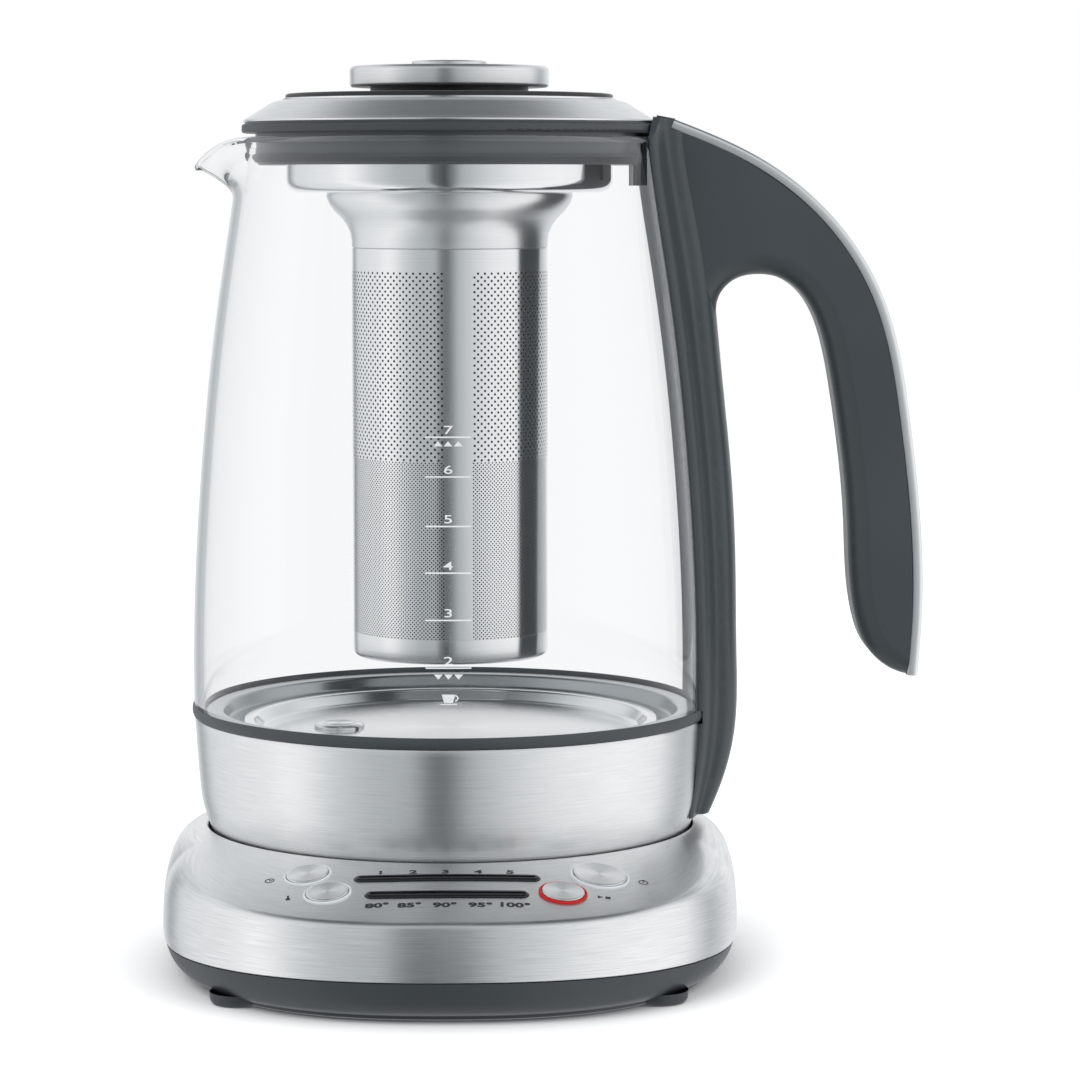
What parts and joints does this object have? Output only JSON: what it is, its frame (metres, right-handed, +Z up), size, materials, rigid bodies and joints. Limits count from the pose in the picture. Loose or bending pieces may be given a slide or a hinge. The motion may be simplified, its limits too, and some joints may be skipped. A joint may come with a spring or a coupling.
{
  "type": "automatic tea maker",
  "caption": "Glass kettle for tea on a cordless steel power base with push buttons, with an arc handle, a lid and a perforated infuser hung in the lid.",
  "frame": {"origin": "middle of the footprint on the table; the jug's axis stands at x -29.6 mm, y 16.5 mm", "axes": "+Z up, +X towards the handle, -Y towards the control panel at the front"},
  "size_m": [0.2389, 0.2047, 0.2816],
  "materials": {
    "brushed_steel": "brushed satin",
    "dark_plastic": "fine matt",
    "grey_plastic": "satin",
    "black_plastic": "matt",
    "inner_plastic": "matt",
    "rubber": "matt",
    "silicone": "satin",
    "clear_glass": "clear polished",
    "clear_silicone": "translucent",
    "display_black": "gloss",
    "pale_ring": "translucent gloss",
    "red_ring": "lit gloss",
    "spun_steel": "spun",
    "screw_steel": "zinc plated",
    "aluminium": "cast",
    "brass": "bright",
    "circuit_green": "solder mask",
    "lamp_white": "clear"
  },
  "bodies": {
    "power_base": {"base_top_cover": "brushed_steel", "base_bottom_cover": "dark_plastic", "base_chassis": "inner_plastic", "rubber_feet": "rubber", "base_screws": "screw_steel", "base_connector": "black_plastic", "base_contacts": "brass", "cord_gland": "black_plastic", "control_board": "circuit_green", "board_screws": "screw_steel", "tact_switches": "black_plastic", "display_leds": "lamp_white", "time_display_lens": "display_black", "temperature_display_lens": "display_black", "button_rings": "pale_ring", "start_stop_ring": "red_ring"},
    "jug_socket": {"jug_connector": "black_plastic", "jug_contacts": "brass"},
    "jug": {"jug_bottom_cover": "dark_plastic", "jug_screws": "screw_steel", "steel_skirt": "brushed_steel", "jug_ring": "dark_plastic", "glass_gasket": "clear_silicone", "glass_jug": "clear_glass", "heater_plate": "brushed_steel", "temperature_sensor": "brushed_steel", "heat_spreader": "aluminium", "heating_element": "screw_steel", "handle_grip": "dark_plastic", "handle_strip": "brushed_steel", "handle_clip": "dark_plastic", "handle_screw": "screw_steel"},
    "lid": {"lid_cover": "brushed_steel", "lid_plug": "grey_plastic", "lid_seal": "silicone", "lid_lip_seal": "silicone"},
    "infuser": {"infuser_rim": "brushed_steel", "infuser_tube": "brushed_steel", "infuser_bottom": "brushed_steel"},
    "infuser_lid": {"infuser_lid_disc": "dark_plastic", "knob_neck": "dark_plastic", "knob_disc": "brushed_steel", "knob_cap": "brushed_steel", "knob_screw": "screw_steel"},
    "brew_time": {"brew_time_button": "spun_steel"},
    "temperature": {"temperature_button": "spun_steel"},
    "start_stop": {"start_stop_button": "spun_steel"},
    "start_timer": {"start_timer_button": "spun_steel"}
  },
  "joints": [
    {"name": "jug_lift", "type": "slide", "parent": "power_base", "child": "jug_socket", "axis": [0, 0, 1], "range_m": [0, 0.1]},
    {"name": "jug_turn", "type": "hinge", "parent": "jug_socket", "child": "jug", "pos_m": [-0.0296, 0.0165, 0.04], "axis": [0, 0, 1], "continuous": true},
    {"name": "lid_lift", "type": "slide", "parent": "jug", "child": "lid", "axis": [0, 0, 1], "range_m": [0, 0.185]},
    {"name": "infuser_lift", "type": "slide", "parent": "lid", "child": "infuser", "axis": [0, 0, 1], "range_m": [0, 0.18]},
    {"name": "infuser_lid_lift", "type": "slide", "parent": "infuser", "child": "infuser_lid", "axis": [0, 0, 1], "range_m": [0, 0.04]},
    {"name": "brew_time_press", "type": "slide", "parent": "power_base", "child": "brew_time", "axis": [0.1172, 0.2227, -0.9678], "range_m": [0, 0.0008], "stiffness_N_per_m": 600, "springref_m": -0.0008},
    {"name": "temperature_press", "type": "slide", "parent": "power_base", "child": "temperature", "axis": [0.0891, 0.2353, -0.9678], "range_m": [0, 0.0008], "stiffness_N_per_m": 600, "springref_m": -0.0008},
    {"name": "start_stop_press", "type": "slide", "parent": "power_base", "child": "start_stop", "axis": [-0.0841, 0.2372, -0.9678], "range_m": [0, 0.0008], "stiffness_N_per_m": 600, "springref_m": -0.0008},
    {"name": "start_timer_press", "type": "slide", "parent": "power_base", "child": "start_timer", "axis": [-0.1228, 0.2196, -0.9678], "range_m": [0, 0.0008], "stiffness_N_per_m": 600, "springref_m": -0.0008}
  ]
}
